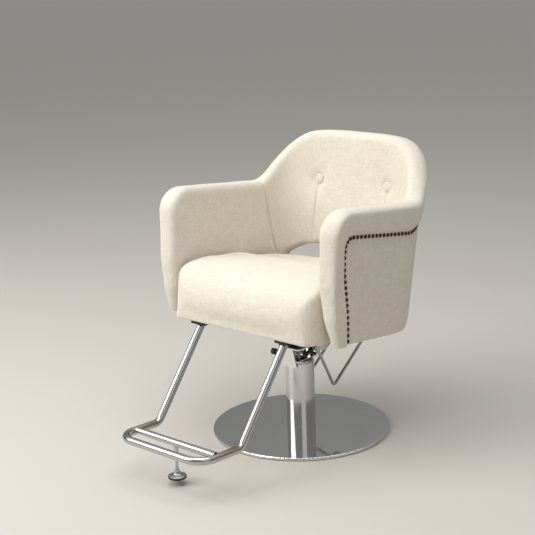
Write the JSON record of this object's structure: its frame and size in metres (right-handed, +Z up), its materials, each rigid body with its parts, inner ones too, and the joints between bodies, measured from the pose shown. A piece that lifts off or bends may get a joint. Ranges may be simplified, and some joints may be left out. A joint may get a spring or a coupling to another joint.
{
  "type": "hydraulic styling chair",
  "caption": "Padded tub chair with nailed outer panels on a hydraulic column and round mirror base, with a hung chrome footrest and a rear pump lever.",
  "frame": {"origin": "on the floor under the column axis, at the centre of the round base's underside", "axes": "-Y is the front of the chair, +X is the sitter's left, +Z is up"},
  "size_m": [0.688, 0.9537, 0.8332],
  "materials": {
    "cover_fabric": "cream slub linen weave over foam",
    "chrome": "mirror",
    "base_mirror": "mirror-polished stainless",
    "black_steel": "satin black",
    "zinc_steel": "zinc plated",
    "cast_grey": "machined",
    "rubber": "matt",
    "black_plastic": "fine grain",
    "plywood": "raw birch plywood",
    "bronze_nail": "antique bronze, hammered",
    "bearing_bronze": "plain"
  },
  "bodies": {
    "base": {"base_plate": "cast_grey", "base_cover": "base_mirror", "base_gasket": "rubber", "column_sleeve": "chrome", "pump_cylinder": "cast_grey", "guide_bush": "bearing_bronze", "cylinder_bolts": "zinc_steel"},
    "ram": {"ram_rod": "chrome", "ram_piston": "zinc_steel", "piston_seal": "rubber", "thrust_washer": "bearing_bronze"},
    "seat": {"pump_head": "chrome", "head_screws": "black_steel", "pivot_bushes": "bearing_bronze", "seat_riser": "black_steel", "seat_plate": "black_steel", "seat_bolts": "zinc_steel", "seat_board": "plywood", "seat_cushion": "cover_fabric", "left_arm_pad": "cover_fabric", "right_arm_pad": "cover_fabric", "back_pad": "cover_fabric", "left_arm_frame": "plywood", "right_arm_frame": "plywood", "back_frame": "plywood", "rear_rail": "plywood", "left_side_panel": "cover_fabric", "right_side_panel": "cover_fabric", "rear_panel": "cover_fabric", "trim_nails": "bronze_nail", "back_buttons": "cover_fabric", "footrest_tube": "chrome", "footrest_crossbar": "chrome", "footrest_flanges": "black_steel", "flange_screws": "black_steel", "foot_boss": "zinc_steel"},
    "lock": {"lock_screw": "zinc_steel", "lock_knob": "black_plastic"},
    "plunger": {"pump_plunger": "zinc_steel"},
    "lever": {"pivot_shaft": "zinc_steel", "lever_fork": "black_steel", "left_cheek": "chrome", "right_cheek": "chrome", "left_lever_rod": "chrome", "right_lever_rod": "chrome", "pedal_bar": "chrome", "pedal_sleeve": "rubber"},
    "foot_pad": {"foot_pad": "zinc_steel", "foot_rubber": "rubber"},
    "foot_stem": {"foot_stem": "zinc_steel"}
  },
  "joints": [
    {"name": "seat_lift", "type": "slide", "parent": "base", "child": "ram", "axis": [0, 0, 1], "range_m": [0, 0.145]},
    {"name": "seat_swivel", "type": "hinge", "parent": "ram", "child": "seat", "pos_m": [0, 0, 0.2138], "axis": [0, 0, 1], "continuous": true},
    {"name": "pump_lever", "type": "hinge", "parent": "seat", "child": "lever", "pos_m": [0, 0.058, 0.246], "axis": [1, 0, 0], "range_deg": [-18, 0], "stiffness_Nm_per_rad": 6, "springref_deg": 34.38},
    {"name": "plunger_stroke", "type": "slide", "parent": "seat", "child": "plunger", "axis": [0, 0, 1], "range_m": [0, 0.0174]},
    {"name": "lock_turn", "type": "hinge", "parent": "seat", "child": "lock", "pos_m": [-0.06, -0.01, 0.2195], "axis": [-1, 0, 0], "range_deg": [0, 360]},
    {"name": "foot_height", "type": "slide", "parent": "seat", "child": "foot_pad", "axis": [0, 0, 1], "range_m": [-0.0175, 0.01]},
    {"name": "foot_screw", "type": "hinge", "parent": "foot_pad", "child": "foot_stem", "pos_m": [0, -0.512, 0.06], "axis": [0, 0, 1], "range_deg": [-5050, 2890]}
  ],
  "couplings": [
    {"joint": "plunger_stroke", "follows": "pump_lever", "m_per_rad": -0.0552},
    {"joint": "foot_screw", "follows": "foot_height", "rad_per_m": 5026.5}
  ]
}
